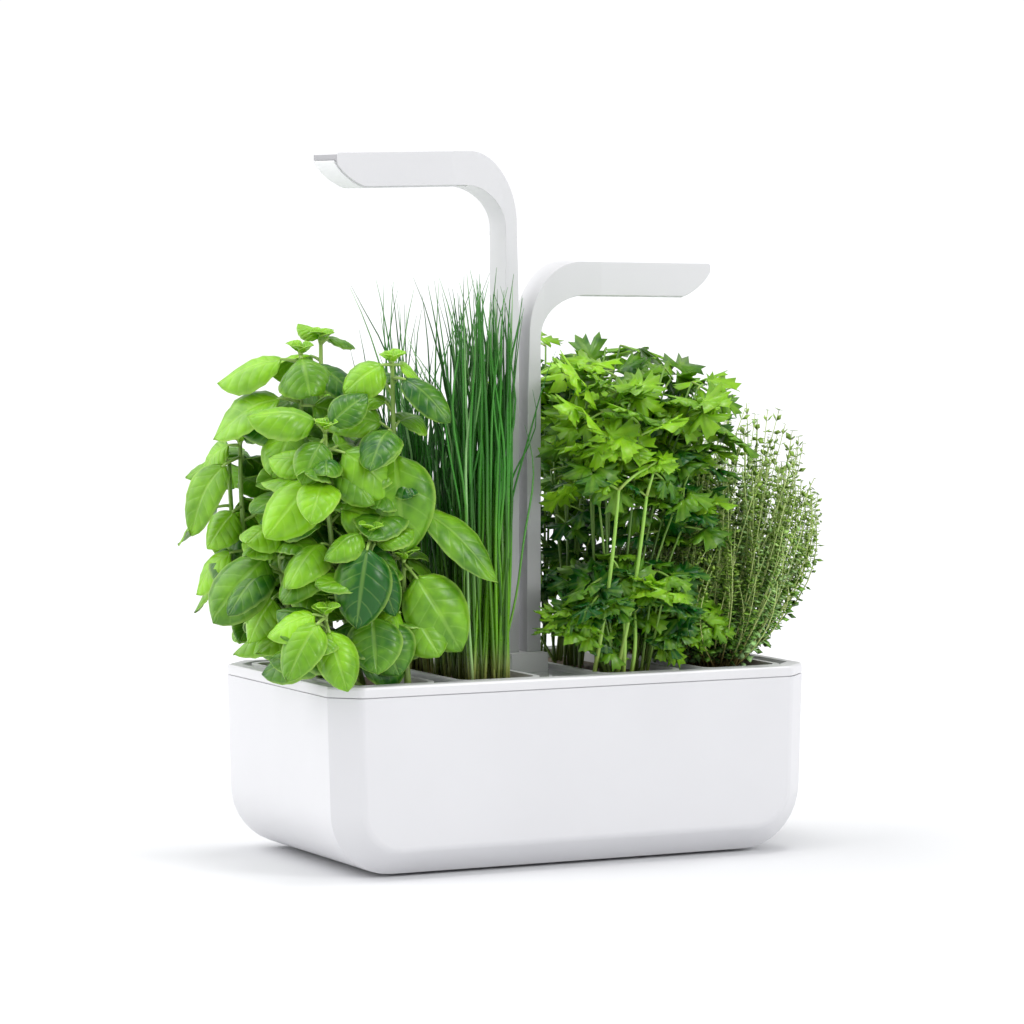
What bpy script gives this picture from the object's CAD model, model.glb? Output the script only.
"""Countertop hydroponic garden: a white tub with four herb pods and two sliding lamps.

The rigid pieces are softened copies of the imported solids, and the four herbs are grown here.
Sizes in the classes are in millimetres. They become metres where a mesh is finished.
"""
import logging
import math
import random
from dataclasses import dataclass
from enum import Enum
from functools import cache
from typing import Any, Callable, Sequence

import bmesh
import bpy
from mathutils import Matrix, Vector, noise


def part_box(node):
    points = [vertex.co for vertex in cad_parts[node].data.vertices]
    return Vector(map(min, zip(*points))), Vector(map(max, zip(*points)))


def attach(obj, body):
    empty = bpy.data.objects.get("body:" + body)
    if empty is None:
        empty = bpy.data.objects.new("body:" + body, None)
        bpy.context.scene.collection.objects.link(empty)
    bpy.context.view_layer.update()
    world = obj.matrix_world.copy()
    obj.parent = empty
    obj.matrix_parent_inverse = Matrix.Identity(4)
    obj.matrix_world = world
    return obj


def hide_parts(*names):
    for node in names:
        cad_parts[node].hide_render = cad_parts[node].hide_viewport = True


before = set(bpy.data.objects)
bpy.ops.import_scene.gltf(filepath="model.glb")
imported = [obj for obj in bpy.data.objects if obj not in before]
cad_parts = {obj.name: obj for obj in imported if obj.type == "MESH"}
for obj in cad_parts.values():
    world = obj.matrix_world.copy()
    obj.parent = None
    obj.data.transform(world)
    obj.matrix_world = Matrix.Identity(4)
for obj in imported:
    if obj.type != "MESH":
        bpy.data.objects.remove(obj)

MM = 0.001
VIEW_X, VIEW_Y = -0.447, -0.894  # the way from the garden to the camera, seen from above
GOLDEN_ANGLE = 2.39996
MERGE = 0.01 * MM  # points this close are one
FLAT = math.radians(0.6)  # faces this close to one plane are one
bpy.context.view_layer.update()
LOG = logging.getLogger("garden")

BMesh = bmesh.types.BMesh
Material = bpy.types.Material
Mesh = bpy.types.Mesh
Node = bpy.types.Node
Piece = bpy.types.Object
Socket = bpy.types.NodeSocket
Color = tuple[float, float, float]
Spot = tuple[float, float, float]
Path = Callable[[float], Vector]
Place = Callable[[Vector], Vector]


def clamp(value: float, low: float = 0.0, high: float = 1.0) -> float:
    """Returns a value kept between two others."""
    return min(max(value, low), high)


# ---------- node trees


@dataclass
class Wiring:
    """Adds nodes to one node tree and links them."""

    tree: bpy.types.NodeTree

    def plug(self, node: Node, inputs: dict[Any, Any]) -> None:
        """Links or sets the inputs of a node.

        Args:
            node: the node.
            inputs: sockets or constants for its inputs, by name or place.
        """
        for key, value in inputs.items():
            if isinstance(value, Socket):
                self.tree.links.new(value, node.inputs[key])
            else:
                node.inputs[key].default_value = value

    def add(self, kind: str, inputs: dict[Any, Any] | None = None, **settings: Any) -> Node:
        """Adds a node.

        Args:
            kind: the node's type.
            inputs: sockets or constants for its inputs, by name or place.
            settings: the node's own settings.

        Returns:
            The new node.
        """
        node = self.tree.nodes.new(kind)
        for key, value in settings.items():
            setattr(node, key, value)
        self.plug(node, inputs or {})
        return node

    def group(self, maker: Callable[[], bpy.types.NodeTree], inputs: dict[str, Any]) -> Node:
        """Adds the shared group of the maker's name, which is built the first time."""
        tree = bpy.data.node_groups.get(maker.__name__) or maker()
        return self.add("ShaderNodeGroup", inputs, node_tree=tree)

    def math(self, operation: str, a: Any, b: Any = 0.0, bound: bool = False) -> Socket:
        """Adds a maths node on two sockets or numbers, bound to 0 to 1 or not."""
        return self.add("ShaderNodeMath", {0: a, 1: b}, operation=operation, use_clamp=bound).outputs[0]

    def times(self, a: Any, b: Any) -> Socket:
        """Multiplies two sockets or numbers."""
        return self.math("MULTIPLY", a, b)

    def less(self, a: Any, b: Any) -> Socket:
        """Takes the second socket or number from the first."""
        return self.math("SUBTRACT", a, b)

    def off(self, value: Socket) -> Socket:
        """Returns how far a value is from one half, either way."""
        return self.math("ABSOLUTE", self.less(value, 0.5))

    def fade(self, value: Socket, low: float, high: float, start: float = 0.0, end: float = 1.0) -> Socket:
        """Maps a value smoothly, so that low gives start and high gives end."""
        return self.add("ShaderNodeMapRange", {0: value, 1: low, 2: high, 3: start, 4: end},
                        interpolation_type="SMOOTHSTEP").outputs[0]

    def mix(self, factor: Socket, a: Any, b: Any) -> Socket:
        """Mixes two colours, where the factor is the share of the second."""
        first, second = ((*c, 1.0) if isinstance(c, tuple) else c for c in (a, b))
        return self.add("ShaderNodeMix", {0: factor, 6: first, 7: second}, data_type="RGBA").outputs[2]

    def noise(self, where: Socket, scale: Any, detail: float = 3.0, rough: float = 0.5) -> Socket:
        """Adds a noise texture, whose scale is per metre, and returns its value."""
        return self.add("ShaderNodeTexNoise", {"Vector": where, "Scale": scale, "Detail": detail,
                                               "Roughness": rough}).outputs[0]

    def swing(self, where: Socket, scale: float, reach: float) -> Socket:
        """Returns noise about zero, times a reach."""
        return self.times(self.less(self.noise(where, scale), 0.5), reach)

    def bump(self, height: Socket, strength: float, distance: float) -> Socket:
        """Adds a bump, whose distance is in metres, and returns its normal."""
        return self.add("ShaderNodeBump", {"Height": height, "Strength": strength,
                                           "Distance": distance}).outputs[0]

    def where(self) -> Socket:
        """Returns the object's own coordinates."""
        return self.add("ShaderNodeTexCoord").outputs["Object"]

    def tint(self) -> Socket:
        """Returns the tint that a leaf or stem carries."""
        return self.add("ShaderNodeAttribute", attribute_name="tint").outputs["Fac"]

    def surface(self) -> tuple[Socket, Socket, Socket]:
        """Returns a leaf's or stem's own map, and its values along and across."""
        own = self.add("ShaderNodeUVMap", uv_map="surface").outputs[0]
        return own, *self.add("ShaderNodeSeparateXYZ", {0: own}).outputs[:2]


def new_group(name: str, inputs: dict[str, float | None], outputs: Sequence[str]) -> Wiring:
    """Starts a shader node group.

    Args:
        name: the group's name.
        inputs: default of each input, or None for a vector.
        outputs: names of the values that it gives.

    Returns:
        The wiring of the group's tree.
    """
    tree = bpy.data.node_groups.new(name, "ShaderNodeTree")
    for key, value in inputs.items():
        kind = "NodeSocketVector" if value is None else "NodeSocketFloat"
        socket = tree.interface.new_socket(key, in_out="INPUT", socket_type=kind)
        if value is not None:
            socket.default_value = value
    for key in outputs:
        tree.interface.new_socket(key, in_out="OUTPUT", socket_type="NodeSocketFloat")
    return Wiring(tree)


def mould_grain() -> bpy.types.NodeTree:
    """Builds the group for moulded plastic: fine grain in height and a slow drift in tone.

    Returns:
        The node group.
    """
    wires = new_group("mould_grain", {"Where": None, "Grain": 900.0, "Drift": 9.0}, ("Height", "Tone"))
    source = wires.add("NodeGroupInput").outputs
    fine = wires.noise(source["Where"], source["Grain"], 2.0)
    slow = wires.noise(source["Where"], source["Drift"], 4.0)
    wires.add("NodeGroupOutput", {"Height": fine, "Tone": wires.fade(slow, 0.3, 0.7)})
    return wires.tree


def leaf_veins() -> bpy.types.NodeTree:
    """Builds the group for a leaf's midrib and side veins, and the quilting between them.

    Returns:
        The node group.
    """
    wires = new_group("leaf_veins", {"Along": 0.0, "Across": 0.5, "Pairs": 6.0, "Slant": 1.6},
                      ("Vein", "Height"))
    source = wires.add("NodeGroupInput").outputs
    side = wires.times(wires.off(source["Across"]), 2.0)
    middle = wires.fade(side, 0.02, 0.11, 1.0, 0.0)
    run = wires.less(wires.times(source["Along"], source["Pairs"]), wires.times(side, source["Slant"]))
    wave = wires.times(wires.off(wires.math("FRACT", run)), 2.0)
    branch = wires.times(wires.fade(wave, 0.8, 1.0), wires.fade(side, 0.7, 1.0, 0.6, 0.1))
    bulge = wires.times(wires.less(1.0, wires.times(wave, wave)), wires.fade(side, 0.0, 0.35))
    wires.add("NodeGroupOutput", {"Vein": wires.math("MAXIMUM", middle, branch),
                                  "Height": wires.less(bulge, wires.times(middle, 0.8))})
    return wires.tree


def start_material(name: str) -> tuple[Material, Wiring, Node]:
    """Starts a material with one Principled shader.

    Args:
        name: the material's name.

    Returns:
        The material, its wiring and its shader.
    """
    material = bpy.data.materials.new(name)
    material.use_nodes = True
    return material, Wiring(material.node_tree), material.node_tree.nodes["Principled BSDF"]


# ---------- finishes


@dataclass(frozen=True)
class Plastic:
    """A moulded plastic or metal: colour, gloss, grain of the mould and a slow drift in tone."""

    name: str
    color: Color
    roughness: float = 0.36
    drift: float = 0.025
    grain: float = 900.0
    depth: float = 0.02
    metallic: float = 0.0
    clear: float = 0.0
    coat: float = 0.0
    bleed: float = 0.0

    def material(self) -> Material:
        """Builds the material.

        Returns:
            The material.
        """
        material, wires, shader = start_material(self.name)
        grain = wires.group(mould_grain, {"Where": wires.where(), "Grain": self.grain}).outputs
        dull = tuple(c * (1 - self.drift) for c in self.color)
        wires.plug(shader, {
            "Base Color": wires.mix(grain["Tone"], dull, self.color),
            "Roughness": wires.fade(grain["Tone"], 0.0, 1.0, self.roughness * 1.08, self.roughness * 0.92),
            "Normal": wires.bump(grain["Height"], 0.12, self.depth * MM),
            "Metallic": self.metallic,
            "Transmission Weight": self.clear,
            "Coat Weight": self.coat,
            "Coat Roughness": 0.08,
            "Subsurface Weight": self.bleed,
            "Subsurface Radius": (0.004, 0.004, 0.004)})
        return material


@dataclass(frozen=True)
class LeafSkin:
    """The skin of a leaf: two greens, the veins' and rim's colour, the gloss and the veins' form.

    Clouds and blotches are noise in its tone: the scale per metre and the reach.
    """

    name: str
    dark: Color
    light: Color
    vein: Color
    roughness: float
    pairs: float
    slant: float
    relief: float
    show: float
    rim: float = 0.0
    rim_span: tuple[float, float] = (0.43, 0.5)
    clouds: tuple[float, float] = (48.0, 1.1)
    blotches: tuple[float, float] = (160.0, 0.5)

    def material(self) -> Material:
        """Builds the material, which reads the leaf's own map and its tint.

        Returns:
            The material.
        """
        material, wires, shader = start_material(self.name)
        _, along, across = wires.surface()
        veins = wires.group(leaf_veins, {"Along": along, "Across": across, "Pairs": self.pairs,
                                         "Slant": self.slant}).outputs
        where = wires.where()
        clouds = wires.math("ADD", wires.tint(), wires.swing(where, *self.clouds))
        share = wires.math("ADD", clouds, wires.swing(where, *self.blotches), bound=True)
        color = wires.mix(share, self.dark, self.light)
        color = wires.mix(wires.times(veins["Vein"], self.show), color, self.vein)
        color = wires.mix(wires.fade(wires.off(across), *self.rim_span, 0.0, self.rim), color, self.vein)
        gloss = wires.fade(wires.noise(where, 420.0), 0.2, 0.8, self.roughness * 0.85, self.roughness * 1.2)
        wires.plug(shader, {
            "Base Color": color,
            "Roughness": gloss,
            "Normal": wires.bump(veins["Height"], 0.9, self.relief * MM),
            "Specular IOR Level": 0.4,
            "Subsurface Weight": 0.45,
            "Subsurface Radius": (0.0012, 0.002, 0.0005)})
        return material


@dataclass(frozen=True)
class StemSkin:
    """The skin of a stem or a tubular blade, from its foot to its tip.

    Pale and turn are the shares of its length where its colour passes from the foot's to the
    middle's and on to the tip's. Shade darkens those of a high tint, and glint lightens those
    of a tint below glint_end.
    """

    name: str
    foot: Color
    middle: Color
    tip: Color
    roughness: float = 0.4
    shade: float = 0.5
    glint: float = 0.0
    pale: tuple[float, float] = (0.06, 0.34)
    turn: tuple[float, float] = (0.3, 0.9)
    glint_end: float = 0.22
    lit: Color = (0.42, 0.68, 0.3)
    shadow: Color = (0.004, 0.05, 0.002)

    def material(self) -> Material:
        """Builds the material, whose colour follows the stem's length.

        Returns:
            The material.
        """
        material, wires, shader = start_material(self.name)
        own, along, _ = wires.surface()
        tint = wires.tint()
        color = wires.mix(wires.fade(along, *self.pale), self.foot, self.middle)
        color = wires.mix(wires.fade(along, *self.turn), color, self.tip)
        color = wires.mix(wires.fade(tint, 0.0, self.glint_end, self.glint, 0.0), color, self.lit)
        color = wires.mix(wires.times(tint, self.shade), color, self.shadow)
        ribs = wires.add("ShaderNodeTexWave", {"Vector": own, "Scale": 3.0, "Distortion": 0.4},
                         bands_direction="Y").outputs[1]
        gloss = wires.fade(wires.noise(wires.where(), 300.0), 0.2, 0.8, self.roughness * 0.85,
                           self.roughness * 1.15)
        wires.plug(shader, {
            "Base Color": color,
            "Roughness": gloss,
            "Normal": wires.bump(ribs, 0.35, 0.0002),
            "Subsurface Weight": 0.15,
            "Subsurface Radius": (0.0006, 0.001, 0.0004)})
        return material


class Finish(Enum):
    """The finishes that rigid pieces take. Each name is the record's slot."""

    CASING = Plastic("casing_white", (0.68, 0.68, 0.7), 0.34)
    TANK = Plastic("tank_clear", (0.8, 0.84, 0.86), 0.12, clear=0.85)
    LID = Plastic("lid_white", (0.69, 0.69, 0.705), 0.3)
    DECK = Plastic("lid_deck_gloss", (0.6, 0.61, 0.62), 0.09, coat=0.4)
    RUBBER = Plastic("foot_rubber", (0.05, 0.05, 0.052), 0.7, grain=1500.0, depth=0.05)
    CUP = Plastic("cup_white", (0.75, 0.755, 0.76), 0.3)
    WICK = Plastic("wick_felt", (0.78, 0.74, 0.62), 0.95, drift=0.2, grain=1600.0, depth=0.3)
    MAST = Plastic("mast_white", (0.88, 0.88, 0.88), 0.34)
    GUIDE = Plastic("guide_grey", (0.24, 0.25, 0.26), 0.42)
    STEEL = Plastic("screw_steel", (0.62, 0.62, 0.63), 0.28, metallic=1.0)
    LAMP = Plastic("lamp_white", (0.66, 0.66, 0.675), 0.32)
    DIFFUSER = Plastic("diffuser_milk", (0.78, 0.785, 0.795), 0.42, bleed=0.25)
    TIP = Plastic("tip_grey", (0.36, 0.36, 0.375), 0.4)
    LED = Plastic("led_board", (0.85, 0.83, 0.7), 0.4)
    CIRCUIT = Plastic("circuit_board", (0.03, 0.17, 0.07), 0.35, drift=0.2)
    SOCKET = Plastic("socket_black", (0.02, 0.02, 0.021), 0.3)
    LEAD = Plastic("lead_black", (0.025, 0.025, 0.027), 0.5)
    GREY = Plastic("stem_grey", (0.5, 0.51, 0.52), 0.4)
    BUTTON = Plastic("button_white", (0.72, 0.72, 0.73), 0.3)
    FLOAT = Plastic("float_orange", (0.75, 0.2, 0.03), 0.4)


@cache
def finish(choice: Finish) -> Material:
    """Builds a shared finish once and returns its material."""
    return choice.value.material()


# ---------- rigid pieces


def into_scene(name: str, data: Any) -> Piece:
    """Puts a mesh, a light or a camera in the scene.

    Args:
        name: the object's name.
        data: what it holds.

    Returns:
        The object.
    """
    thing = bpy.data.objects.new(name, data)
    bpy.context.scene.collection.objects.link(thing)
    return thing


def as_mesh(name: str, bm: BMesh, materials: Sequence[Material] = ()) -> Mesh:
    """Turns a bmesh into a mesh, and frees it.

    Args:
        name: the mesh's name.
        bm: the bmesh.
        materials: its materials in order.

    Returns:
        The mesh.
    """
    mesh = bpy.data.meshes.new(name)
    bm.to_mesh(mesh)
    bm.free()
    for material in materials:
        mesh.materials.append(material)
    return mesh


def add_piece(name: str, bm: BMesh, materials: Sequence[Material], node: str, slot: str,
              body: str = "root") -> Piece:
    """Turns a finished bmesh in metres into a piece that takes the place of a CAD node.

    Args:
        name: the piece's name.
        bm: its mesh, which is freed.
        materials: its materials in order.
        node: the CAD node that it replaces.
        slot: the record's material slot.
        body: the body that it rides on.

    Returns:
        The piece.
    """
    mesh = as_mesh(name, bm, materials)
    mesh.shade_smooth()
    piece = into_scene(name, mesh)
    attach(piece, body)
    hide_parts(node)
    return piece


@dataclass
class Moulding:
    """A rigid piece that keeps the shape of its CAD node and gets softened edges and a finish."""

    node: str
    finish: Finish
    body: str = "root"
    edge: float = 0.5
    segments: int = 2
    angle: float = 28.0
    second: Finish | None = None
    second_test: Callable[[bmesh.types.BMFace], bool] | None = None

    def build(self) -> None:
        """Copies the node's mesh, merges it, softens its edges and dresses it."""
        bm = bmesh.new()
        bm.from_mesh(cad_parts[self.node].data)
        bmesh.ops.remove_doubles(bm, verts=bm.verts, dist=MERGE)
        bmesh.ops.dissolve_limit(bm, angle_limit=FLAT, verts=bm.verts, edges=bm.edges)
        materials = [finish(self.finish)]
        if self.second:
            materials.append(finish(self.second))
            for face in bm.faces:
                face.material_index = int(self.second_test(face))
        piece = add_piece(self.node + "_moulding", bm, materials, self.node, self.finish.value.name,
                          self.body)
        bevel = piece.modifiers.new("soft_edges", "BEVEL")
        bevel.limit_method = "ANGLE"
        bevel.angle_limit = math.radians(self.angle)
        bevel.width = self.edge * MM
        bevel.segments = self.segments
        bevel.use_clamp_overlap = True
        bevel.harden_normals = True
        piece.modifiers.new("even_normals", "WEIGHTED_NORMAL").keep_sharp = True
        LOG.info("%s: softened by %.1f mm", piece.name, self.edge)


def dress(choices: dict[str, Finish]) -> None:
    """Gives CAD nodes that stay their finishes.

    Args:
        choices: the finish of each node.
    """
    for node, choice in choices.items():
        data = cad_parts[node].data
        data.materials.clear()
        data.materials.append(finish(choice))
        LOG.info("%s: dressed as %s", node, choice.value.name)


@dataclass
class Tub:
    """The tub: casing, lid with its sunk deck, tank, feet, and the rear panel's pieces."""

    deck_z: float = 114.3
    deck_fit: float = 0.4
    level: float = 0.7

    def deck_face(self, face: bmesh.types.BMFace) -> bool:
        """Tells whether a face of the lid belongs to the glossy sunk deck."""
        middle = face.calc_center_median()
        return face.normal.z > self.level and abs(middle.z - self.deck_z * MM) < self.deck_fit * MM

    def build(self) -> None:
        """Builds the tub's pieces."""
        Moulding("casing", Finish.CASING, edge=0.7, segments=3, angle=40).build()
        Moulding("lid_deck", Finish.LID, edge=0.45, second=Finish.DECK, second_test=self.deck_face).build()
        Moulding("filler_flap", Finish.LID, "flap").build()
        Moulding("power_button", Finish.BUTTON, "button", 0.6).build()
        Moulding("dc_inlet", Finish.SOCKET, edge=0.4).build()
        Moulding("rubber_feet", Finish.RUBBER, edge=0.4).build()
        dress({"water_tank": Finish.TANK, "timer_board": Finish.CIRCUIT, "board_screws": Finish.STEEL,
               "lamp_leads": Finish.LEAD, "flap_pin": Finish.STEEL, "float_stem": Finish.GREY,
               "level_float": Finish.FLOAT})


@dataclass
class Mast:
    """The block on the deck, its guide below, and the two lamps that slide in them."""

    reach: float = 131.0
    upright: float = 0.9
    fit: float = 0.5

    def tip_face(self, face: bmesh.types.BMFace) -> bool:
        """Tells whether a face is the grey end of a lamp's roof."""
        far = abs(face.calc_center_median().x) > (self.reach - self.fit) * MM
        return abs(face.normal.x) > self.upright and far

    def build(self) -> None:
        """Builds the mast's and the lamps' pieces."""
        Moulding("mast_base", Finish.MAST, edge=0.7, segments=3).build()
        dress({"mast_guide": Finish.GUIDE, "mast_screws": Finish.STEEL})
        for side in ("left", "right"):
            body = side + "_lamp"
            Moulding(side + "_arm", Finish.LAMP, body, 0.55, 3, 24, Finish.TIP, self.tip_face).build()
            Moulding(side + "_light_cover", Finish.DIFFUSER, body).build()
            dress({side + "_led_board": Finish.LED, side + "_glide": Finish.GUIDE})


@dataclass
class Pod:
    """A pod: its basket and the block of growing medium with an uneven top."""

    herb: str
    middle: float
    top_z: float = 112.0
    width: float = 50.4
    length: float = 154.4
    corner: float = 7.2
    lumps: float = 1.6
    slope: float = 6.0
    cells: tuple[int, int] = (30, 84)

    def build(self) -> None:
        """Builds the pod's pieces."""
        Moulding(self.herb + "_cup", Finish.CUP, edge=0.4).build()
        dress({self.herb + "_wick": Finish.WICK})
        self.soil()

    def soil(self) -> None:
        """Builds the block of growing medium, whose uneven top wears the frame's own material."""
        bm = bmesh.new()
        bmesh.ops.create_grid(bm, x_segments=self.cells[0], y_segments=self.cells[1], size=1.0)
        half_x, half_y = self.width / 2, self.length / 2
        reach_x, reach_y = half_x - self.corner, half_y - self.corner
        for vert in bm.verts:
            x, y = vert.co.x * half_x, vert.co.y * half_y
            over = Vector((max(abs(x) - reach_x, 0.0), max(abs(y) - reach_y, 0.0)))
            if over.length > self.corner:
                over *= self.corner / over.length
                x, y = math.copysign(reach_x + over.x, x), math.copysign(reach_y + over.y, y)
            spot = Vector((x + self.middle, y, 0.0))
            edge = min(half_x - abs(x), half_y - abs(y), self.slope) / self.slope
            crumbs = noise.noise(spot * 0.22) + 0.6 * noise.noise(spot * 0.6)
            vert.co = Vector((x + self.middle, y, self.top_z + self.lumps * crumbs * max(edge, 0.0))) * MM
        bmesh.ops.remove_doubles(bm, verts=bm.verts, dist=0.0000001)
        rim = [edge for edge in bm.edges if edge.is_boundary]
        skirt = bmesh.ops.extrude_edge_only(bm, edges=rim)["geom"]
        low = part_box(self.herb + "_soil")[0][2]
        for vert in (item for item in skirt if isinstance(item, bmesh.types.BMVert)):
            vert.co.z = low
        bmesh.ops.contextual_create(bm, geom=[edge for edge in bm.edges if edge.is_boundary])
        bmesh.ops.recalc_face_normals(bm, faces=bm.faces)
        node = self.herb + "_soil"
        piece = add_piece(self.herb + "_growing_medium", bm, [bpy.data.materials["soil"]], node, "soil")
        LOG.info("%s: uneven top", piece.name)


# ---------- herbs


@dataclass
class Room:
    """The room that the herbs leave free for the lamps' travel and the columns."""

    head: Spot = (135.0, 20.0, 317.0)
    column: tuple[float, float] = (16.5, 22.5)
    soil_z: float = 113.0
    rim_y: float = 74.0
    rim_z: float = 119.5
    low: tuple[float, float] = (-212.0, -102.0)
    high: tuple[float, float] = (206.0, 94.0)
    kept: float = 0.25

    def free(self, points: Sequence[Vector]) -> bool:
        """Tells whether none of the points is in the lamps', the columns' or the rims' way.

        Args:
            points: the points in millimetres.

        Returns:
            True if they are all free.
        """
        for p in points:
            x, y = abs(p.x), abs(p.y)
            if x < self.head[0] and y < self.head[1] and p.z > self.head[2]:
                return False
            if x < self.column[0] and y < self.column[1]:
                return False
            if p.z < self.soil_z or (p.z < self.rim_z and y > self.rim_y):
                return False
        return True

    def drawn_in(self, point: Vector) -> Vector:
        """Draws what reaches past the garden's outline back to a quarter of its overhang."""
        x, y = (clamp(value, low, high) for value, low, high in zip(point, self.low, self.high))
        return Vector((x + (point.x - x) * self.kept, y + (point.y - y) * self.kept, point.z))


ROOM = Room()


def as_template(bm: BMesh, uv_of: Callable[[Vector], tuple[float, float]], index: int = 0) -> Mesh:
    """Turns a bmesh into a template with a map and a material.

    Args:
        bm: the mesh, which is freed.
        uv_of: the map's value at a point.
        index: its material's place in the piece.

    Returns:
        The template.
    """
    layer = bm.loops.layers.uv.new("surface")
    bm.verts.layers.float.new("tint")
    for face in bm.faces:
        face.material_index = index
        for loop in face.loops:
            loop[layer].uv = uv_of(loop.vert.co)
    return as_mesh("template", bm)


def upright_rod(sides: int, cuts: int, foot: float = 1.0, tip: float = 1.0) -> BMesh:
    """Makes an upright rod of height 1 that stands on the origin.

    Args:
        sides: its sides.
        cuts: rings between its ends.
        foot: its radius at the foot.
        tip: its radius at the tip.

    Returns:
        The bmesh.
    """
    bm = bmesh.new()
    bmesh.ops.create_cone(bm, cap_ends=True, segments=sides, radius1=foot, radius2=tip, depth=1.0)
    bmesh.ops.translate(bm, vec=(0.0, 0.0, 0.5), verts=bm.verts)
    sides_only = [edge for edge in bm.edges if abs(edge.verts[0].co.z - edge.verts[1].co.z) > 0.5]
    bmesh.ops.subdivide_edges(bm, edges=sides_only, cuts=cuts)
    return bm


def rod_template(sides: int, cuts: int, index: int = 1) -> Mesh:
    """Makes the template of a stem or stalk, whose material has the index."""
    return as_template(upright_rod(sides, cuts),
                       lambda p: (p.z, (math.atan2(p.y, p.x) / math.tau) % 1.0), index)


def bowed(foot: Vector, tip: Vector, bow: Vector) -> Path:
    """Makes a path from a foot to a tip that leans out by the bow in its middle."""
    return lambda t: foot.lerp(tip, t) + bow * math.sin(math.pi * t)


def stood(along: Vector, face: float, rise: float, lift: float) -> tuple[Vector, Vector]:
    """Stands a leaf anywhere between lying flat and facing the camera.

    Args:
        along: its direction.
        face: how far it faces the camera, or the other way if negative.
        rise: how far the way that it faces looks up.
        lift: how far it lies flat where it doesn't face either way.

    Returns:
        The directions of its upper face and of its side.
    """
    up = Vector((0, 0, lift - abs(face))) + Vector((VIEW_X, VIEW_Y, rise)) * face
    up = (up - along * up.dot(along)).normalized()
    return up, up.cross(along)


@dataclass
class Herb:
    """What the four herbs share: their pod, their seed, and the mesh that grows in millimetres."""

    middle: float
    seed: int
    soil_z: float = 112.0

    def __post_init__(self) -> None:
        """Starts the herb's own run of chance, and its mesh with the layers that the stamps carry."""
        self.chance = random.Random(self.seed)
        self.draw = self.chance.uniform
        self.bm = bmesh.new()
        self.bm.loops.layers.uv.new("surface")
        self.tint = self.bm.verts.layers.float.new("tint")

    def spot(self, x: float, y: float, rise: float = 0.0) -> Vector:
        """Returns a place above the pod's soil, from the pod's middle."""
        return Vector((self.middle + x, y, self.soil_z + rise))

    def jitter(self, x: float, y: float) -> Vector:
        """Draws a level shift of up to x and y either way."""
        return Vector((self.draw(-x, x), self.draw(-y, y), 0))

    def stamp(self, template: Mesh, place: Place, tint: float) -> None:
        """Adds a copy of a template, with each point moved.

        Args:
            template: the mesh that is copied.
            place: moves a point of the template to its place.
            tint: value of the tint at each point of the copy.
        """
        start = len(self.bm.verts)
        self.bm.from_mesh(template)
        self.bm.verts.ensure_lookup_table()
        for vert in self.bm.verts[start:]:
            vert.co = place(vert.co)
            vert[self.tint] = tint

    def along(self, template: Mesh, path: Path, width: Callable[[float], float], tint: float,
              spin: float = 0.0) -> None:
        """Adds a copy of an upright template of height 1, bent along a path.

        Args:
            template: the mesh that is bent.
            path: the point at each share of the height.
            width: what the template's width is multiplied by at each share.
            tint: value of the tint.
            spin: turn of the template about its axis.
        """
        rings: dict[float, tuple[Vector, Vector, Vector]] = {}
        step = 0.02

        def place(point: Vector) -> Vector:
            """Moves one point.

            Args:
                point: a point of the template.

            Returns:
                Its place.
            """
            key = round(point.z, 4)
            if key not in rings:
                tangent = (path(min(key + step, 1.0)) - path(max(key - step, 0.0))).normalized()
                side = tangent.cross(Vector((0.0, 1.0, 0.0))).normalized()
                rings[key] = (path(clamp(key)), side, side.cross(tangent))
            middle, side, front = rings[key]
            x = point.x * math.cos(spin) - point.y * math.sin(spin)
            y = point.x * math.sin(spin) + point.y * math.cos(spin)
            return middle + (side * x + front * y) * width(key)
        self.stamp(template, place, tint)

    def finished(self, name: str, skins: Sequence[Any], node: str, thickness: float = 0.0) -> None:
        """Turns the grown mesh into a piece.

        Args:
            name: the piece's name.
            skins: its skins in order, of which the first names the record's slot.
            node: the CAD node that it stands for.
            thickness: thickness of the leaves in millimetres.
        """
        for vert in self.bm.verts:
            vert.co = ROOM.drawn_in(vert.co)
        bmesh.ops.scale(self.bm, vec=(MM, MM, MM), verts=self.bm.verts)
        piece = add_piece(name, self.bm, [skin.material() for skin in skins], node, skins[0].name)
        if thickness:
            leaves = piece.modifiers.new("leaf_thickness", "SOLIDIFY")
            leaves.thickness = thickness * MM
            leaves.offset = 0.0
        LOG.info("%s: %d faces", name, len(piece.data.polygons))


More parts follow.
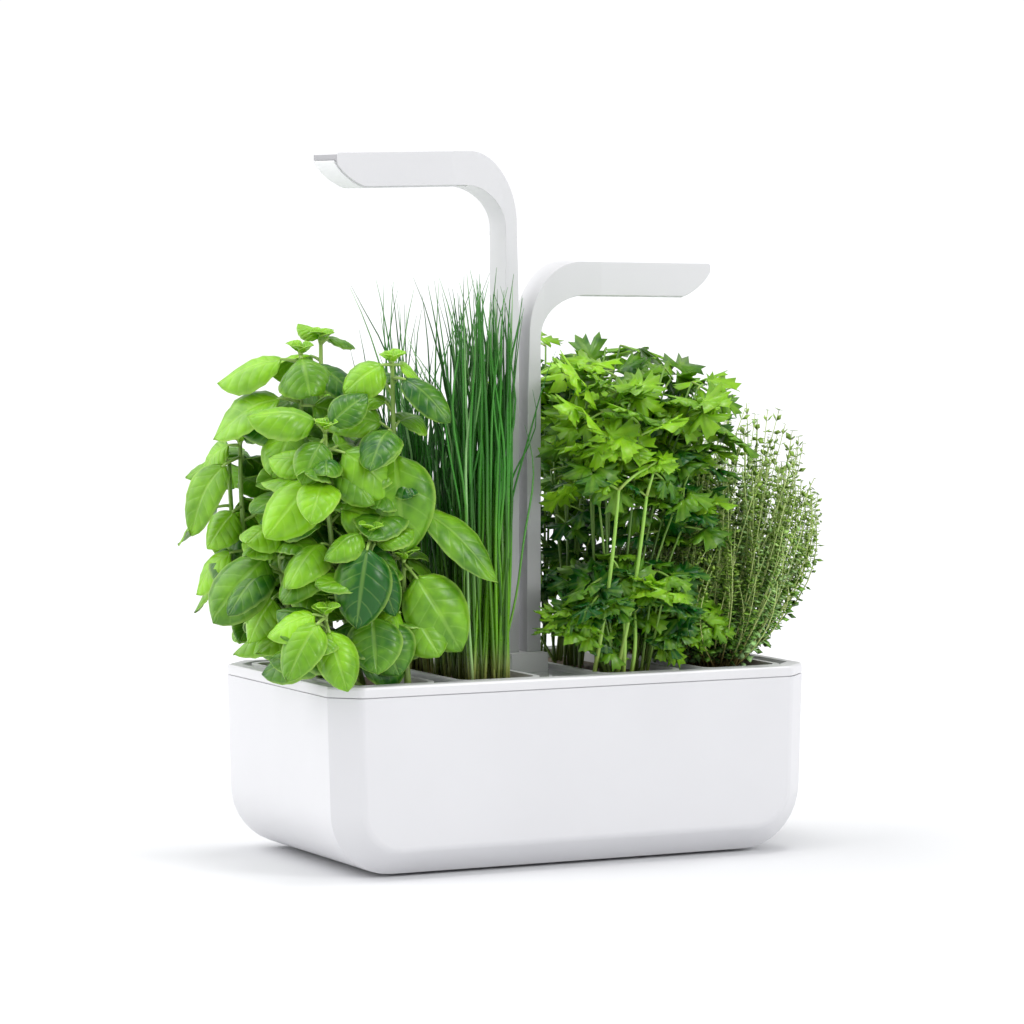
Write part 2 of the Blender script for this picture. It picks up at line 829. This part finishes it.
@dataclass
class Basil(Herb):
    """Basil: leaning stems that carry glossy, arched leaves and small ones at their tips.

    A stem is its foot, its tip and its leaves. A place is x from the pod's middle, y, and z as
    a percentage of the height. A leaf is its share of the stem, its tip, its width and how far
    it faces the front. The bush is the span of its inner leaves across the view, in y, z and x.
    """

    height: float = 214.0
    stalk: float = 0.17
    inner_leaves: int = 28
    crown_turns: tuple = (0.5, 2.1, 3.7, 5.2)
    top_z: float = 330.0
    lit_x: float = -160.0
    back_y: float = 50.0
    bush: tuple = ((-182, -44), (-82, 84), (124, 300), (-999, -56))
    stems: tuple = (
        ((-8, -52), (-31, -46, 73), (
            (1.0, -6, -53, 84, 22, 0.8), (0.98, -52, -58, 59, 23, 0.85), (1.0, -77, -34, 78, 32, 0.5),
            (0.94, 9, -66, 53, 31, 0.7), (0.85, -74, -54, 44, 33, 0.7), (0.7, -2, -30, 56, 30, 0.2),
            (0.52, -67, -62, 26, 28, 0.5), (0.55, 4, -76, 33, 30, 0.6), (0.36, -52, -36, 20, 30, 0.3))),
        ((4, -56), (14, -46, 92), (
            (1.0, -16, -40, 84, 26, 0.7), (1.0, 34, -46, 87, 22, 0.4), (0.96, 39, -76, 76, 21, 0.6),
            (0.8, 36, -40, 77, 28, 0.5), (0.77, 9, -74, 39, 44, 0.9), (0.74, -16, -22, 66, 32, 0.2),
            (0.58, 66, -86, 30, 26, 0.5), (0.55, -20, -84, 44, 34, 0.6), (0.4, 44, -52, 28, 34, 0.4))),
        ((-4, -72), (-14, -74, 44), (
            (1.0, -30, -89, 19, 35, 0.95), (1.0, -46, -78, 38, 22, 0.4), (0.92, -4, -88, 22, 20, 0.9),
            (0.9, 12, -80, 46, 24, 0.3), (0.55, -18, -92, 6, 34, 0.9), (0.5, 0, -86, 5, 36, 0.9))),
        ((14, -68), (12, -66, 36), (
            (1.0, 42, -85, 11, 40, 0.8), (0.95, 36, -58, 28, 32, 0.3), (0.7, 26, -88, 10, 32, 0.8))),
        ((-14, -70), (-46, -80, 22), (
            (0.95, -41, -100, 2, 25, 0.9), (1.0, -75, -87, 5, 26, 0.7), (1.0, -80, -70, 17, 28, 0.5),
            (0.8, -60, -94, 12, 24, 0.7))),
        ((-16, -14), (-50, -20, 46), (
            (0.86, -94, -14, 19, 38, 0.7), (1.0, -78, -34, 42, 28, 0.5), (1.0, -38, -50, 46, 26, 0.5),
            (0.6, -66, -8, 12, 26, 0.6), (0.55, -24, -44, 28, 30, 0.5))),
        ((-14, 42), (-52, 36, 68), (
            (1.0, -70, 54, 60, 25, 0.5), (0.95, -82, 44, 42, 27, 0.5), (1.0, -36, 20, 76, 26, 0.4),
            (0.74, -72, 42, 38, 25, 0.6), (0.7, -40, 70, 42, 30, -0.4), (0.55, -72, 60, 24, 24, 0.5),
            (0.45, -22, 18, 30, 32, 0.3))),
        ((-8, 8), (-24, 6, 94), (
            (1.0, -29, -20, 83, 35, 0.8), (0.98, -64, 44, 86, 32, 0.5), (0.86, -71, 34, 70, 36, 0.5),
            (0.97, 4, -18, 82, 28, 0.4), (0.8, -50, -8, 60, 30, 0.6), (0.7, 10, 10, 62, 34, 0.3),
            (0.55, -46, -6, 40, 34, 0.5), (0.42, 14, -10, 32, 34, 0.4))),
        ((8, 30), (2, 34, 97), (
            (1.0, -10, 42, 103, 16, 0.3), (1.0, 28, 42, 96, 22, 0.3), (0.95, -22, 58, 88, 30, -0.4),
            (0.85, 32, 30, 78, 32, 0.2), (0.7, -20, 34, 64, 34, 0.1), (0.68, 34, 44, 50, 34, 0.1),
            (0.5, -8, 56, 40, 32, -0.4), (0.42, 36, 24, 30, 32, 0.1))),
        ((12, 56), (20, 62, 78), (
            (1.0, 42, 66, 74, 24, 0.1), (1.0, 6, 82, 74, 26, -0.6), (0.85, -12, 70, 64, 28, -0.4),
            (0.8, 40, 82, 54, 30, -0.5), (0.6, 0, 88, 42, 32, -0.7), (0.55, 44, 60, 30, 32, 0.0),
            (0.35, 18, 90, 16, 30, -0.8))),
        ((-12, 64), (-46, 68, 62), (
            (1.0, -74, 72, 58, 24, 0.3), (1.0, -34, 88, 54, 26, -0.6), (0.8, -76, 80, 38, 30, -0.2),
            (0.7, -30, 92, 32, 30, -0.7), (0.5, -66, 78, 18, 28, 0.0), (0.4, -20, 94, 12, 28, -0.8))))

    def build(self) -> None:
        """Grows the basil."""
        rod = rod_template(6, 8)
        self.blade, self.twig = self.flat_leaf(), rod_template(5, 3)
        for start, end, leaves in self.stems:
            foot, tip = self.spot(*start), self.rise(end)
            path = bowed(foot, tip, Vector((0.3 * (end[0] - start[0]), 0, 0)))
            self.along(rod, path, lambda t: 2.0 - 0.9 * t, self.draw(0.2, 0.6))
            for share, *point, width, face in leaves:
                tint = clamp(self.chance.gauss(0.46, 0.3), 0.05)
                self.leaf(path(share), self.rise(point), width, face, tint)
            crown = path(1.0)
            for turn in self.crown_turns:
                out = Vector((math.cos(turn), math.sin(turn), 0.7)) * self.draw(9, 13)
                if ROOM.free([crown + out]):
                    self.leaf(crown, crown + out, width=8.5, face=0.4, tint=0.8)
            for _ in range(self.inner_leaves):
                self.inner_leaf(path)
        skin = LeafSkin("basil_green", (0.008, 0.1, 0.005), (0.26, 0.57, 0.012), (0.5, 0.76, 0.16),
                        roughness=0.33, pairs=6.0, slant=1.2, relief=0.36, show=0.18, rim=0.45)
        stem = StemSkin("basil_stem", (0.3, 0.45, 0.1), (0.3, 0.46, 0.1), (0.34, 0.54, 0.11))
        self.finished("basil_leaves", [skin, stem], "basil_plant", 0.4)

    def flat_leaf(self) -> Mesh:
        """Makes a flat leaf from -1 to 1 both ways.

        Returns:
            The template.
        """
        bm = bmesh.new()
        bmesh.ops.create_grid(bm, x_segments=12, y_segments=6, size=1.0)
        return as_template(bm, lambda p: ((p.x + 1) / 2, (p.y + 1) / 2))

    def rise(self, place: Sequence[float]) -> Vector:
        """Returns the point of a place whose height is a percentage."""
        return self.spot(place[0], place[1], place[2] / 100 * self.height + 1)

    def inner_leaf(self, path: Path) -> None:
        """Adds a leaf that fills the bush between the table's leaves, where there is room.

        Args:
            path: the stem that it grows from.
        """
        node = path(self.draw(0.22, 0.92))
        turn, reach = self.draw(0, math.tau), self.draw(26, 46)
        tip = node + Vector((math.cos(turn), math.sin(turn), self.draw(-0.7, 0.3))) * reach
        across = VIEW_X * tip.y - VIEW_Y * tip.x
        inside = all(low < at < high for at, (low, high) in zip((across, tip.y, tip.z, tip.x), self.bush))
        if inside and ROOM.free([tip, node.lerp(tip, 0.6)]):
            face = self.draw(0.2, 0.8) * (1 if tip.y < self.back_y else -1)
            self.leaf(node, tip, 0.64 * reach, face, self.draw(0.0, 0.62))

    def leaf(self, node: Vector, tip: Vector, width: float, face: float, tint: float) -> None:
        """Adds a leaf that runs from its node to its tip.

        Args:
            node: where the stalk leaves the stem.
            tip: where the blade ends.
            width: width of the blade.
            face: how far it is turned to the front.
            tint: its tone, from dark at 0 to light at 1.
        """
        run = tip - node
        length = run.length
        along = run / length
        up, side = stood(along, face, rise=0.15, lift=1.15)
        arch = self.draw(0.15, 0.27)
        phase, wave = self.draw(0, 6), 0.02 * length
        cup = self.draw(-0.85, -0.2) if width > 14 else 0.5
        twist = self.draw(-0.25, 0.25)

        def centre(t: float) -> Vector:
            """Returns the middle of the leaf at a share of its run."""
            return node + along * length * t + up * length * arch * math.sin(math.pi * t ** 0.85)

        def place(point: Vector) -> Vector:
            """Moves one point.

            Args:
                point: a point of the template.

            Returns:
                Its place.
            """
            share, across = (point.x + 1) / 2, point.y
            half = width / 2 * 2.6 * share ** 0.6 * (1 - share) ** 0.8 + 0.3
            lift = half * cup * across * across - 0.16 * half * (1 - abs(across)) ** 2
            lift += wave * across * across * math.sin(6.5 * share + phase + 1.6 * across)
            lift += twist * half * across * (share - 0.3)
            lift += 0.035 * half * math.sin(math.pi * (10 * share - 1.2 * abs(across))) * abs(across)
            return centre(self.stalk + (1 - self.stalk) * share) + side * half * across + up * lift
        self.along(self.twig, lambda s: centre(self.stalk * 1.15 * s), lambda s: 1.0 - 0.3 * s, 0.1)
        tone = tint + 0.25 * (tip.z / self.top_z - 0.6) + 0.16 * (tip.x < self.lit_x)
        self.stamp(self.blade, place, clamp(tone))


@dataclass
class Chives(Herb):
    """Chives: dense tufts of upright tubular blades, pale at the foot, with stray ones at the sides.

    A tuft is its place, its share of the height and its spread. A stray blade is its foot and
    its tip, whose height is a percentage.
    """

    height: float = 262.0
    blades: int = 24
    loose: int = 64
    probes: tuple = (0.3, 0.5, 0.65, 0.8, 0.9, 1.0)
    tufts: tuple = (
        ((6, -66), 0.99, 9), ((-8, -60), 0.98, 11), ((6, -50), 1.0, 9), ((-4, -42), 1.0, 12),
        ((0, -31), 0.94, 12), ((-10, -14), 0.74, 12), ((6, 4), 0.72, 10), ((-8, 32), 0.72, 14),
        ((4, 46), 0.76, 16), ((-8, 60), 0.7, 14))
    strays: tuple = (
        ((-6, -38), (-48, -34, 84)), ((-8, -30), (-42, -36, 93)), ((-8, -58), (-34, -62, 96)),
        ((-4, -50), (-26, -52, 91)), ((-10, -36), (-58, -26, 74)), ((-6, -62), (-20, -70, 97)),
        ((4, -60), (22, -66, 96)), ((8, -54), (26, -50, 88)), ((10, -62), (32, -64, 80)),
        ((10, -44), (40, -44, 92)), ((8, -56), (46, -58, 62)), ((6, -48), (52, -52, 70)))

    def build(self) -> None:
        """Grows the chives."""
        self.rod = rod_template(6, 14, 0)
        for place, share, spread in self.tufts:
            for _ in range(self.blades):
                turn, ring = self.draw(0, math.tau), self.draw(0.6, 5.5)
                foot = (place[0] + ring * math.cos(turn), place[1] + ring * math.sin(turn))
                out = spread * self.draw(0.1, 1.35) * self.chance.choice((1.0, 1.0, 1.0, 1.7))
                rise = 100 * share * self.draw(0.66, 1.0) ** 0.6
                turn += self.draw(-2.2, 2.2)
                over = out * math.cos(turn) * (0.4 if math.cos(turn) > 0 else 1.0)
                tip = (place[0] + over, place[1] * 1.04 + 0.5 * out * math.sin(turn), rise)
                self.blade(foot, tip, radius=0.78, curl=9)
        for foot, tip in self.strays:
            self.blade(foot, tip, radius=0.6, curl=18)
        for k in range(self.loose):
            side, deep = self.draw(-36, 6), self.draw(26, 66) * (1 if k % 2 else -1)
            foot = (self.draw(-12, 6), 0.9 * deep)
            self.blade(foot, (side, deep, self.draw(74, 99)), radius=0.62, curl=30)
        skin = StemSkin("chives_green", (0.42, 0.46, 0.13), (0.17, 0.45, 0.008), (0.045, 0.28, 0.016),
                        roughness=0.3, shade=0.8, glint=0.6, pale=(0.02, 0.13), turn=(0.16, 0.6))
        self.finished("chives_blades", [skin], "chives_plant")

    def blade(self, start: tuple[float, float], end: Spot, radius: float, curl: float) -> None:
        """Adds a blade that sways on its way up, where the lamps leave it room.

        Args:
            start: its foot from the pod's middle.
            end: its tip, whose height is a percentage.
            radius: its radius in the middle.
            curl: how far its tip may bend to the side.
        """
        foot, tip = self.spot(*start), self.spot(end[0], end[1], end[2] / 100 * self.height)
        lean = Vector((start[0] - end[0], start[1] - end[1], 0)) * self.draw(0.1, 0.3)
        lean += self.jitter(6, 4)
        sway = self.jitter(5, 3)
        bend = Vector((self.draw(-curl, curl), self.draw(-5.0, 5.0), self.draw(-6, 0)))
        phase, pace = self.draw(0, 6), self.draw(6.0, 17.0)

        def path(t: float) -> Vector:
            """Returns the point of the blade at a share of its height."""
            straight = foot.lerp(tip, t) + lean * math.sin(math.pi * t)
            return straight + sway * t * math.sin(phase + pace * t) + bend * t ** 4

        def width(t: float) -> float:
            """Returns the radius at a share of the height, which ends in a point."""
            return radius * (min(1.0, 3.2 * (1.02 - t)) ** 0.7 + 0.3 * (1 - t))
        if ROOM.free([path(t) for t in self.probes]):
            self.along(self.rod, path, width, self.chance.random())


@dataclass
class Parsley(Herb):
    """Parsley: long pale stalks that carry ternate leaves with deep lobes and toothed edges.

    A stem is its foot, its tip, whose height is a share of the plant's, and its heading. Sprays
    are each leaf's turn and its share of the stem, and leaflets each leaflet's turn and shift.
    The outline is a leaflet's radius at every 10 degrees from its tip. A pale stalk is its
    foot, its knee and its tip.
    """

    height: float = 214.0
    low_stem: float = 0.4
    stems: tuple = (
        ((-12, -66), (-24, -70, 0.3), 200), ((10, -64), (10, -76, 0.32), 300),
        ((-8, -50), (-16, -56, 0.78), 160), ((12, -52), (46, -60, 0.62), 0),
        ((-4, -34), (0, -44, 0.88), 120), ((10, -26), (54, -44, 0.86), 320),
        ((-14, -58), (-24, -52, 0.2), 180), ((4, -42), (2, -52, 0.24), 240),
        ((-10, -14), (-16, -24, 0.3), 190), ((-6, 24), (-16, 34, 0.3), 200),
        ((8, 20), (16, 26, 0.36), 40), ((14, -48), (30, -64, 0.2), 300),
        ((12, 0), (44, -26, 0.9), 20), ((-8, 8), (-14, 4, 0.72), 250),
        ((4, 28), (42, 30, 0.96), 30), ((-8, 42), (-6, 42, 0.96), 100),
        ((10, 56), (22, 60, 0.74), 60), ((-6, 66), (-18, 70, 0.5), 140))
    leaflets: tuple = ((0.0, 0.35), (1.15, 0.0), (-1.15, 0.0))
    lobe_ends: tuple = ((1.3, 0, 0), (0.4, 1, 0), (0.4, -1, 0))
    sprays: tuple = ((0, 1.0), (115, 0.95), (-112, 0.9), (55, 0.84), (-65, 0.78))
    outline: tuple = (1.0, 0.8, 0.94, 0.42, 0.7, 0.92, 0.72, 0.84, 0.36, 0.5, 0.56, 0.34, 0.28, 0.22,
                      0.18, 0.16, 0.15, 0.14, 0.14)
    pale: tuple = (
        ((-28, -66), (-20, -85, 0.56), (0, -85, 0.62)), ((-14, -70), (-1, -86, 0.54), (4, -86, 0.61)),
        ((-10, -72), (-12, -73, 0.3), (-20, -74, 0.36)), ((-4, -70), (-2, -72, 0.2), (12, -76, 0.26)))

    def flat_leaflet(self) -> Mesh:
        """Makes a leaflet with three toothed lobes, from its stalk at the origin towards +X.

        Returns:
            The template.
        """
        bm = bmesh.new()
        step = 360 / (2 * len(self.outline) - 2)
        bmesh.ops.create_circle(bm, cap_ends=True, cap_tris=True, segments=round(360 / step), radius=1.0)
        for vert in bm.verts:
            if vert.co.length > 0.01:
                angle = abs(math.degrees(math.atan2(vert.co.y, vert.co.x)))
                vert.co *= self.outline[round(angle / step)]
        bmesh.ops.translate(bm, vec=(0.3, 0.0, 0.0), verts=bm.verts)
        return as_template(bm, lambda p: ((p.x + 0.6) / 2, (p.y + 1) / 2))

    def build(self) -> None:
        """Grows the parsley."""
        rod = rod_template(5, 8)
        self.leaflet, self.twig = self.flat_leaflet(), rod_template(4, 2)
        for start, end, heading in self.stems:
            for k in range(3 if end[2] < self.low_stem else 4):
                foot = self.spot(start[0] + self.draw(-4, 4), start[1] + self.draw(-3, 3))
                rise = self.height * end[2] * (1.0 if k == 0 else self.draw(0.76, 1.0))
                tip = self.spot(end[0] + min(k, 2) * self.draw(-13, 13),
                                end[1] + min(k, 2) * self.draw(-8, 8), rise)
                path = bowed(foot, tip, Vector((0.2 * (start[0] - end[0]), 0, 0)))
                self.along(rod, path, lambda t: 0.8 - 0.3 * t, self.draw(0.3, 1.0))
                for turn, share in self.sprays:
                    self.spray(path(share), math.radians(heading + turn + 40 * k), 11.5 + 6 * end[2])
        for start, bend, end in self.pale:
            foot, knee, tip = self.spot(*start), self.rise(bend), self.rise(end)
            self.along(rod, bowed(foot, knee, Vector((0, -4, 0))), lambda t: 1.3 - 0.4 * t, 0.0)
            self.along(rod, bowed(knee, tip, Vector((0, -1, 2))), lambda t: 0.9 - 0.3 * t, 0.0)
            self.spray(tip, heading=0.3, size=11.0)
            self.spray(knee, heading=2.4, size=10.0)
        skin = LeafSkin("parsley_green", (0.003, 0.09, 0.005), (0.3, 0.62, 0.012), (0.45, 0.7, 0.09),
                        roughness=0.34, pairs=4.0, slant=1.6, relief=0.3, show=0.16)
        stem = StemSkin("parsley_stem", (0.3, 0.42, 0.08), (0.32, 0.55, 0.09), (0.3, 0.56, 0.08), shade=0.8)
        self.finished("parsley_leaves", [skin, stem], "parsley_plant", 0.35)

    def rise(self, place: Spot) -> Vector:
        """Returns the point of a place whose height is a share of the plant's."""
        return self.spot(place[0], place[1], place[2] * self.height)

    def spray(self, node: Vector, heading: float, size: float) -> None:
        """Adds a leaf of three leaflets that is turned partly to the light.

        Args:
            node: where the stalk leaves its stem.
            heading: its direction seen from above.
            size: length of a leaflet.
        """
        heading += self.draw(-0.4, 0.4)
        along = Vector((math.cos(heading), math.sin(heading), self.draw(-0.7, 0.55))).normalized()
        up, side = stood(along, self.draw(-0.35, 0.95), rise=0.2, lift=1.1)
        end = node + along * size * 0.75
        places = [self.leaflet_place(end, (along, side, up), size, turn, shift)
                  for turn, shift in self.leaflets]
        if not ROOM.free([place(Vector(p)) for place in places for p in self.lobe_ends]):
            return
        self.along(self.twig, bowed(node, end + along * 2, Vector((0, 0, 0.5))), lambda s: 0.6, 0.1)
        share = (node.z - ROOM.soil_z) / self.height
        tint = clamp(self.chance.gauss(0.43, 0.31) + 0.8 * (share - 0.6))
        for place in places:
            self.stamp(self.leaflet, place, clamp(tint + self.draw(-0.12, 0.12)))

    def leaflet_place(self, end: Vector, axes: tuple[Vector, Vector, Vector], size: float, turn: float,
                      shift: float) -> Place:
        """Makes the function that puts a flat leaflet in its place.

        Args:
            end: where the stalk ends.
            axes: the leaf's directions along, to its side and up.
            size: length of the leaflet before chance changes it.
            turn: its turn in the leaf.
            shift: how far along it starts.

        Returns:
            The function, which takes a point of the flat leaflet.
        """
        along, side, up = axes
        grow, droop, roll = size * (1 + self.draw(-0.2, 0.2)), self.draw(0.0, 0.5), self.draw(-0.4, 0.4)

        def place(point: Vector) -> Vector:
            """Moves one point.

            Args:
                point: a point of the template.

            Returns:
                Its place.
            """
            x = point.x * math.cos(turn) - point.y * math.sin(turn) + shift
            y = point.x * math.sin(turn) + point.y * math.cos(turn)
            curl = 0.13 * math.sin(5 * point.x + 4 * point.y)
            curl -= droop * (0.3 * point.x ** 2 + 0.35 * point.y ** 2)
            return end + (along * x + side * y + up * (curl + roll * point.y)) * grow
        return place


@dataclass
class Thyme(Herb):
    """Thyme: a round bush of thin pale stems with pairs of tiny leaves, leaning over the tub's end."""

    height: float = 168.0
    stems: int = 400
    feet: tuple[float, float] = (13, 64)
    lean: tuple[float, float] = (22, -4)
    spread: tuple[float, float] = (66, 78)
    pairs: int = 21
    quarter: float = 1.57
    leaf_size: float = 7.6
    usual_height: float = 130.0

    def sprig(self) -> Mesh:
        """Makes an upright sprig of height 1 with pairs of leaves, whose width is in millimetres.

        Returns:
            The template.
        """
        bm = upright_rod(4, 8, 0.55, 0.28)
        stem_faces = len(bm.faces)
        for k in range(self.pairs):
            z = 0.14 + 0.86 * k / (self.pairs - 1)
            for side in (0, 1):
                heading = math.pi * side + self.quarter * k + self.draw(-0.6, 0.6)
                self.leaf(bm, z, heading, self.leaf_size * (1 - 0.28 * z) * self.draw(0.6, 1.15))
        mesh = as_template(bm, lambda p: (clamp(p.z), 0.5))
        for polygon in mesh.polygons[:stem_faces]:
            polygon.material_index = 1
        return mesh

    def leaf(self, bm: BMesh, z: float, heading: float, size: float) -> None:
        """Adds a small folded leaf to a sprig.

        Args:
            bm: the sprig's mesh.
            z: its height as a share of the sprig.
            heading: its direction seen from above.
            size: its length in millimetres.
        """
        cone = bmesh.ops.create_cone(bm, cap_ends=True, segments=4, radius1=1.0, radius2=0.0, depth=0.3)
        pitch, roll = self.draw(-0.2, 0.9), self.draw(-0.9, 0.9)
        spin, tilt = Matrix.Rotation(heading, 3, "Z"), Matrix.Rotation(-pitch, 3, "Y")
        turn = spin @ tilt @ Matrix.Rotation(roll, 3, "X")
        for vert in cone["verts"]:
            flat = Vector(((vert.co.x + 1) * size / 2, vert.co.y * size * 0.3, vert.co.z * size * 0.3))
            spot = turn @ flat
            vert.co = Vector((spot.x, spot.y, z + spot.z / self.usual_height))

    def build(self) -> None:
        """Grows the thyme."""
        sprigs = [self.sprig() for _ in range(6)]
        for s in range(self.stems):
            turn, out = GOLDEN_ANGLE * s, math.sqrt((s + 0.5) / self.stems)
            out_x, out_y = out * math.cos(turn), out * math.sin(turn)
            foot = self.spot(self.feet[0] * out_x, self.feet[1] * out_y)
            rise = self.height * (1 - 0.42 * out * out + 0.22 * out_x) * self.draw(0.3, 1.0) ** 0.5
            tip = Vector((self.middle + self.lean[0] + self.spread[0] * out_x,
                          self.lean[1] + self.spread[1] * out_y, self.soil_z + rise))
            tip += self.jitter(9, 7)
            bend = self.draw(6, 26)
            path = bowed(foot, tip, Vector((bend * out_x, 0.6 * bend * out_y, 0)) + self.jitter(11, 8))
            if ROOM.free([path(t) for t in (0.3, 0.6, 0.8, 1.0)]):
                tint = min(self.chance.random() ** 1.2 * (1.35 - 0.7 * out), 1.0)
                self.along(sprigs[s % len(sprigs)], path, lambda t: 1.0, tint, turn)
        skin = StemSkin("thyme_green", (0.03, 0.07, 0.008), (0.2, 0.47, 0.03), (0.44, 0.7, 0.09),
                        roughness=0.42, shade=0.85, glint=0.7)
        stem = StemSkin("thyme_stem", (0.26, 0.2, 0.06), (0.52, 0.6, 0.2), (0.56, 0.7, 0.24),
                        roughness=0.5, shade=0.35)
        self.finished("thyme_sprigs", [skin, stem], "thyme_plant")


# ---------- studio


@dataclass
class Studio:
    """A pale floor, soft light from the left, the front and above, and the camera.

    A sun is its name, the way towards it, its strength and its apparent size in degrees.
    """

    eye: Spot = (-1.24054, -2.47628, 0.39685)
    aim: Spot = (-0.002254, 0.0, 0.214187)
    lens: float = 154.357
    ambient: float = 0.7
    backdrop: float = 1.05
    floor_size: float = 120.0
    sun_color: Color = (1.0, 0.995, 0.99)
    suns: tuple = (("left_light", (-0.9, 0.6, 0.8), 2.2, 80), ("front_light", (0.5, -0.85, 0.55), 1.15, 24),
                   ("top_light", (0.1, 0.0, 1.0), 1.15, 24))

    def camera(self) -> None:
        """Sets the camera at the photograph's view."""
        data = bpy.data.cameras.new("view")
        data.lens, data.sensor_width, data.clip_end = self.lens, 36.0, 500.0
        camera = into_scene("view", data)
        camera.location = self.eye
        camera.rotation_euler = (Vector(self.aim) - Vector(self.eye)).to_track_quat("-Z", "Y").to_euler()
        bpy.context.scene.camera = camera

    def floor(self) -> None:
        """Lays the floor."""
        bm = bmesh.new()
        bmesh.ops.create_grid(bm, x_segments=1, y_segments=1, size=self.floor_size)
        material, wires, shader = start_material("floor_pale")
        color = wires.mix(wires.noise(wires.where(), 1.5), (0.72, 0.725, 0.74), (0.75, 0.755, 0.77))
        wires.plug(shader, {"Base Color": color, "Roughness": 0.6, "Specular IOR Level": 0.2})
        into_scene("floor", as_mesh("floor", bm, [material]))

    def lights(self) -> None:
        """Adds the broad soft lights."""
        for name, direction, power, spread in self.suns:
            data = bpy.data.lights.new(name, "SUN")
            data.energy, data.angle, data.color = power, math.radians(spread), self.sun_color
            into_scene(name, data).rotation_euler = Vector(direction).to_track_quat("Z", "Y").to_euler()

    def world(self) -> None:
        """Makes the surroundings an even white that lights the object softly."""
        world = bpy.data.worlds.new("white_room")
        bpy.context.scene.world = world
        world.use_nodes = True
        wires = Wiring(world.node_tree)
        ray = wires.add("ShaderNodeLightPath").outputs["Is Camera Ray"]
        wires.plug(world.node_tree.nodes["Background"], {
            "Strength": wires.fade(ray, 0.0, 1.0, self.ambient, self.backdrop),
            "Color": (0.985, 0.99, 1.0, 1.0)})

    def build(self) -> None:
        """Builds the studio."""
        self.camera()
        self.floor()
        self.world()
        self.lights()
        view = bpy.context.scene.view_settings
        view.view_transform, view.look, view.exposure, view.gamma = "Standard", "None", 0.0, 1.0
        LOG.info("studio: camera, floor and lights")


def main() -> None:
    """Builds the garden and its studio."""
    logging.basicConfig(level=logging.INFO, format="%(name)s %(message)s")
    Studio().build()
    Tub().build()
    Mast().build()
    herbs = {"basil": Basil(-121.0, 11), "chives": Chives(-49.0, 12), "parsley": Parsley(49.0, 13),
             "thyme": Thyme(121.0, 14)}
    for name, herb in herbs.items():
        Pod(name, herb.middle).build()
    for herb in herbs.values():
        herb.build()


if __name__ == "__main__":
    main()
